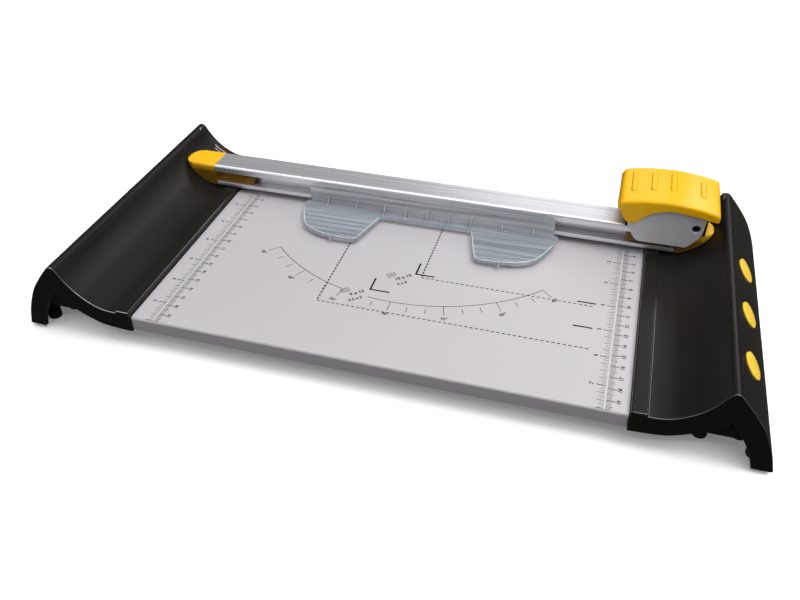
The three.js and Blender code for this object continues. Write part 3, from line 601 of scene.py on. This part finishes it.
def protractor(film):
    radius = PROTRACTOR_RADIUS
    for from_deg, to_deg in PROTRACTOR_ARCS:
        film.arc(radius, from_deg, to_deg, 0.5)
    for degrees in range(45, 136, 5):
        if degrees == HIDDEN_TICK:
            continue
        turn = math.radians(degrees)
        near, far = (0, 9.4) if degrees % 15 == 0 else (3.2, 8.2)
        x, y = math.cos(turn), -math.sin(turn)
        film.bar((radius + near) * x, (radius + near) * y, (radius + far) * x, (radius + far) * y, 0.42)
        if degrees % 15 == 0:
            shown = degrees if degrees <= 90 else 180 - degrees
            out = radius + PROTRACTOR_NUMBER_OUT
            film.text(f"{shown}°", out * x, out * y, 2.6, 90 - degrees)


CORNER_MARKS = [(-17.4, -127), (8.2, -102)]
MARK_WIDTH = 1.3
# Each paper guide: its corner and how far back it runs
PAPER_GUIDES = [(-48.5, -148, -50), (12.8, -105, -35)]
GUIDE_RIGHT_END = 132
DASH, DASH_GAP = 2.1, 1.4
EDGE_MARKS = (-102, -127.6)
LABEL_TURN = 40
LABEL_FRAMES = [(5.6, 3.8), (3.0, 1.4)]


def corner_mark(film, x, y):
    """An L whose arms run to the back and to the right."""
    film.bar(x, y - 0.6, x, y + 13, MARK_WIDTH)
    film.bar(x - 0.65, y, x + 13.5, y, MARK_WIDTH)


def paper_guides(film):
    """Dashed lines from the back to each corner and on to the right, corner marks and edge marks."""
    for x, y, back in PAPER_GUIDES:
        film.dashes(x, back, x, y, 1.1, DASH, DASH_GAP)
        film.dashes(x, y, GUIDE_RIGHT_END, y, 0.8, DASH, DASH_GAP)
    for x, y in CORNER_MARKS:
        corner_mark(film, x, y)
    for y in EDGE_MARKS:
        film.bar(120, y, 132.4, y, MARK_WIDTH)


def turned_frame(film, x, y, width, height):
    """A small outline, turned as the labels are."""
    turn = math.radians(LABEL_TURN)
    across = Vector((math.cos(turn), math.sin(turn))) * (width / 2)
    upward = Vector((-math.sin(turn), math.cos(turn))) * (height / 2)
    middle = Vector((x, y))
    lower = [middle - across - upward, middle + across - upward]
    corners = lower + [middle + across + upward, middle - across + upward]
    for start, end in zip(corners, corners[1:] + corners[:1]):
        film.bar(start.x, start.y, end.x, end.y, 0.4)


def format_labels(film):
    """Small sizes in centimetres and inches, set aslant beside the corner marks."""
    sizes = (("9 x 13", "3.5 x 5"), ("10 x 15", "4 x 6"))
    for (x, y), (metric, imperial) in zip(CORNER_MARKS, sizes):
        film.text(metric, x - 7.6, y - 6.0, 3.0, LABEL_TURN)
        film.text(imperial, x - 6.6, y - 12.6, 2.6, LABEL_TURN)
        for width, height in LABEL_FRAMES:
            turned_frame(film, x - 16.3, y - 5.6, width, height)


def print_on_board():
    dark = Film(INK_LOW, INK_HIGH)
    for side in (1, -1):
        ruler(dark, side)
    protractor(dark)
    paper_guides(dark)
    format_labels(dark)
    dark.piece("board_print_black", ink("black_ink", (0.006, 0.0055, 0.006)))
    white = Film(INK_LOW, INK_HIGH)
    for side in (1, -1):
        white.bar(SCALE_X[side], SCALE_START, SCALE_X[side], SCALE_END, 0.42)
    white.piece("board_print_white", ink("white_ink", (0.44, 0.43, 0.44)))


# ---- Ridges and rolled rims on the clear guard ----

# One finger tab's edge in mm, from the middle strip down, along the front and up to the outer end
TAB_INNER_EDGE = [(35.2, 45.6), (43.2, 16.0), (45.0, 13.4), (48.5, 12.4)]
TAB_FRONT_EDGE = [
    (48.5, 12.4), (61.0, 12.4), (73.5, 14.9), (82.0, 18.4), (88.0, 23.6), (92.2, 32.0), (96.8, 44.0),
]
TAB_FIRST_RIDGE = 17.5
TAB_LAST_RIDGE = 46
TAB_CENTRE = (68, 40)
TAB_TOP = 29.4
RIM_TOP = 30.5
RIDGE_PITCH = 5.4
RIDGE_WIDTH = 3.2
RIDGE_HIGH = 0.4
RIDGE_SINK = 0.05
RIDGE_SLOPE = 1.5
RIDGE_MARGIN = 2.6
RIM_RADIUS = 0.24
RIM_INSET = 0.7


def edge_x(edge, y):
    """Where the edge crosses the line at y."""
    for (x0, y0), (x1, y1) in zip(edge, edge[1:]):
        if y0 != y1 and min(y0, y1) <= y <= max(y0, y1):
            return x0 + (x1 - x0) * (y - y0) / (y1 - y0)
    return None


def ridge(mesh, x0, x1, y):
    """A low rounded bar along X, let a little into the plate, with sloped ends."""
    steps = 6
    turns = [math.pi * i / steps for i in range(steps + 1)]
    foot = TAB_TOP - RIDGE_SINK
    arch = [(y - RIDGE_WIDTH / 2 * math.cos(t), foot + RIDGE_HIGH * math.sin(t)) for t in turns]
    flat = [(a, foot) for a, _ in arch]
    rings = []
    for x, profile in ((x0, flat), (x0 + RIDGE_SLOPE, arch), (x1 - RIDGE_SLOPE, arch), (x1, flat)):
        rings.append([mesh.verts.new((x * MM, a * MM, b * MM)) for a, b in profile])
    for near, far in zip(rings, rings[1:]):
        for i in range(steps):
            mesh.faces.new((near[i], near[i + 1], far[i + 1], far[i]))
        mesh.faces.new((near[-1], near[0], far[0], far[-1]))


def linked_piece(name, data, material, body):
    """A smooth-shaded piece of one material that rides on the body."""
    data.materials.clear()
    data.materials.append(material)
    for face in data.polygons:
        face.use_smooth = True
    made = bpy.data.objects.new(name, data)
    scene.collection.objects.link(made)
    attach(made, body)
    return made


def guard_ridges(material):
    """Low ridges across both finger tabs."""
    mesh = bmesh.new()
    for side in (1, -1):
        y = TAB_FIRST_RIDGE
        while y < TAB_LAST_RIDGE:
            inner = edge_x(TAB_INNER_EDGE, y)
            outer = edge_x(TAB_FRONT_EDGE, y)
            if inner and outer and outer - inner > 3 * RIDGE_MARGIN:
                ends = sorted((side * (inner + RIDGE_MARGIN), side * (outer - RIDGE_MARGIN)))
                ridge(mesh, *ends, y)
            y += RIDGE_PITCH
    bmesh.ops.remove_doubles(mesh, verts=mesh.verts, dist=1e-7)
    bmesh.ops.recalc_face_normals(mesh, faces=mesh.faces)
    data = bpy.data.meshes.new("guard_ridges")
    mesh.to_mesh(data)
    mesh.free()
    linked_piece("guard_ridges", data, material, "guard")


def guard_rim(side, material):
    """A thin rolled bead on the tab's edge, in the pale rim plastic: a painted highlight along the edge."""
    path = TAB_INNER_EDGE[:-1] + TAB_FRONT_EDGE
    curve = bpy.data.curves.new("rim", "CURVE")
    curve.dimensions = "3D"
    curve.bevel_depth = RIM_RADIUS * MM
    curve.bevel_resolution = 3
    curve.use_fill_caps = True
    line = curve.splines.new("NURBS")
    line.points.add(len(path) - 1)
    for point, (x, y) in zip(line.points, path):
        toward = (Vector(TAB_CENTRE) - Vector((x, y))).normalized() * RIM_INSET
        point.co = (side * (x + toward.x) * MM, (y + toward.y) * MM, (RIM_TOP - 0.1) * MM, 1)
    line.order_u = 3
    line.use_endpoint_u = True
    line.resolution_u = 6
    drawn = bpy.data.objects.new("rim", curve)
    data = bpy.data.meshes.new_from_object(drawn)
    bpy.data.objects.remove(drawn)
    bpy.data.curves.remove(curve)
    linked_piece(f"guard_rim_{'right' if side > 0 else 'left'}", data, material, "guard")


def dress_guard(clear):
    guard_ridges(clear)
    # The rims' pale plastic is a painted highlight.
    painted_highlight = lit_edge_plastic()
    for side in (1, -1):
        guard_rim(side, painted_highlight)


# ---- The return spring under the lever ----


def squeezed_spring(material):
    """The spring as a piece of its own, copied from the model's spring, that rides on the carriage."""
    depsgraph = bpy.context.evaluated_depsgraph_get()
    data = bpy.data.meshes.new_from_object(nodes["lever_spring"].evaluated_get(depsgraph))
    spring = linked_piece("return_spring", data, material, "carriage")
    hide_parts("lever_spring")
    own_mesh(spring)


# ---- Studio ----

CAMERA_LENS = 35.85
CAMERA_PLACE = (0.1245, -0.4404, 0.3598)
CAMERA_TURN = (0.89528, 0.00796, 0.28246)
# Each light: its name, place, target, size and power
LIGHTS = [
    ("back_softbox", (0.8, 1.2, 0.97), (0, 0, 0.03), (0.8, 0.5), 6),
    ("back_panel", (0.0, 1.6, 1.0), (0, 0, 0.03), (0.6, 0.4), 1.2),
    ("front_strip", (0.35, -0.75, 1.05), (0.1, 0, 0.03), (1.1, 0.08), 2.4),
    ("key", (0.85, -0.1, 1.55), (0, 0, 0), (0.9, 0.9), 16.5),
    ("front_fill", (-0.9, -1.2, 0.45), (0, 0, 0.03), (1.2, 0.8), 3.2),
    ("side_fill", (1.4, -0.2, 0.8), (0.2, 0, 0.03), (0.7, 0.7), 0.6),
]
SKY_FADE = (0.6, 1.0)
SKY_STRENGTH = (0.08, 1.9)
PALE = (0.93, 0.93, 0.93, 1)
FLOOR_HALF = 6.0
BACKDROP_RADIUS = 3.0
BACKDROP_HEIGHT = 4.0
BACKDROP_SINK = 0.01
FLOOR_GLOW = 0.16
FLOOR_FADE_START = 0.9
FLOOR_FADE_END = 2.2


def make_camera():
    data = bpy.data.cameras.new("camera")
    data.lens = CAMERA_LENS
    data.sensor_width = 36.0
    data.dof.use_dof = False
    camera = bpy.data.objects.new("camera", data)
    camera.location = CAMERA_PLACE
    camera.rotation_euler = Euler(CAMERA_TURN, "XYZ")
    scene.collection.objects.link(camera)
    scene.camera = camera


def area_light(name, place, target, size, power):
    data = bpy.data.lights.new(name, "AREA")
    data.shape = "RECTANGLE"
    data.size, data.size_y = size
    data.energy = power
    light = bpy.data.objects.new(name, data)
    light.location = place
    light.rotation_euler = (Vector(target) - Vector(place)).to_track_quat("-Z", "Y").to_euler()
    scene.collection.objects.link(light)


def make_floor():
    """White, and brighter far out, where it meets the backdrop. It lights nothing but itself."""
    mesh = bmesh.new()
    corners = ((-1, -1), (1, -1), (1, 1), (-1, 1))
    mesh.faces.new([mesh.verts.new((x * FLOOR_HALF, y * FLOOR_HALF, 0)) for x, y in corners])
    data = bpy.data.meshes.new("floor")
    mesh.to_mesh(data)
    mesh.free()
    floor = bpy.data.objects.new("floor", data)
    scene.collection.objects.link(floor)
    look = Look("floor_white", Base_Color=PALE, Roughness=0.9, Specular_IOR_Level=0.1)
    look.set("Emission Color", (1, 1, 1, 1))
    outward = look.math("SQRT", look.math("ADD", look.squared("X"), look.squared("Y")), 0)
    look.feed("Emission Strength", look.span(outward, FLOOR_FADE_START, FLOOR_FADE_END, FLOOR_GLOW, 1))
    data.materials.append(look.material)
    floor.visible_glossy = False
    floor.visible_diffuse = False


def make_backdrop():
    """A pale wall all round, far out, that is seen but throws no light or shadow on the object."""
    count = 64
    mesh = bmesh.new()
    turns = [2 * math.pi * i / count for i in range(count)]
    round_places = [(BACKDROP_RADIUS * math.cos(t), BACKDROP_RADIUS * math.sin(t)) for t in turns]
    rings = []
    for height in (-BACKDROP_SINK, BACKDROP_HEIGHT):
        rings.append([mesh.verts.new((x, y, height)) for x, y in round_places])
    for i in range(count):
        j = (i + 1) % count
        mesh.faces.new((rings[0][i], rings[0][j], rings[1][j], rings[1][i]))
    data = bpy.data.meshes.new("backdrop")
    mesh.to_mesh(data)
    mesh.free()
    wall = bpy.data.objects.new("backdrop", data)
    scene.collection.objects.link(wall)
    look = Look("backdrop_white", Base_Color=PALE, Roughness=0.9, Specular_IOR_Level=0.0)
    look.set("Emission Color", (1, 1, 1, 1))
    look.set("Emission Strength", 1.0)
    data.materials.append(look.material)
    wall.visible_glossy = False
    wall.visible_diffuse = False
    wall.visible_transmission = False
    wall.visible_shadow = False


def make_world():
    """White light from above that fades to the horizon."""
    world = bpy.data.worlds.new("world")
    scene.world = world
    world.use_nodes = True
    tree = world.node_tree
    background = tree.nodes["Background"]
    background.inputs["Color"].default_value = (1, 1, 1, 1)
    direction = tree.nodes.new("ShaderNodeTexCoord").outputs["Generated"]
    split = tree.nodes.new("ShaderNodeSeparateXYZ")
    tree.links.new(direction, split.inputs[0])
    fade = tree.nodes.new("ShaderNodeMapRange")
    fade.interpolation_type = "SMOOTHSTEP"
    for socket, value in zip(RANGE_SOCKETS, (*SKY_FADE, *SKY_STRENGTH)):
        fade.inputs[socket].default_value = value
    tree.links.new(split.outputs["Z"], fade.inputs["Value"])
    tree.links.new(fade.outputs["Result"], background.inputs["Strength"])


def make_studio():
    make_camera()
    make_floor()
    make_backdrop()
    make_world()
    scene.view_settings.view_transform = "Standard"
    for light in LIGHTS:
        area_light(*light)


# ---- Assembly ----

MATERIALS = {
    "black_plastic": black_plastic,
    "board_plastic": board_paint,
    "strip_plastic": strip_plastic,
    "yellow_plastic": yellow_plastic,
    "grey_plastic": grey_plastic,
    "clear_plastic": clear_plastic,
    "nylon": nylon,
    "aluminium": aluminium,
    "steel": steel,
    "blade_steel": blade_steel,
    "rubber": rubber,
}


def dress_nodes():
    made = {name: build() for name, build in MATERIALS.items()}
    special = {"cover_screw": black_screw_steel()}
    cap = cap_plastic()
    special.update({name: cap for name in nodes if name.startswith("rail_cap")})
    pale = pale_yellow_plastic()
    special.update({name: pale for name in nodes if name.startswith("flank_insert")})
    # Painted highlights for the trays' rounded edges; the left tray's is painted brighter than the right's.
    fillets = {
        "tray_left": polished_edge("black_abs_painted_highlight_left", (0.36, 0.35, 0.34)),
        "tray_right": polished_edge("black_abs_painted_highlight_right", (0.12, 0.116, 0.112)),
    }
    for name, node in nodes.items():
        node.data.materials.clear()
        node.data.materials.append(special[name] if name in special else made[slot_of[name]])
        bevel = finish_edges(node, edge_width(name), TRAY_MARKED if name in fillets else MARKED)
        if name in fillets:
            node.data.materials.append(fillets[name])
            bevel.material = 1
    dress_guard(made["clear_plastic"])
    squeezed_spring(made["steel"])


make_studio()
dress_nodes()
print_on_board()
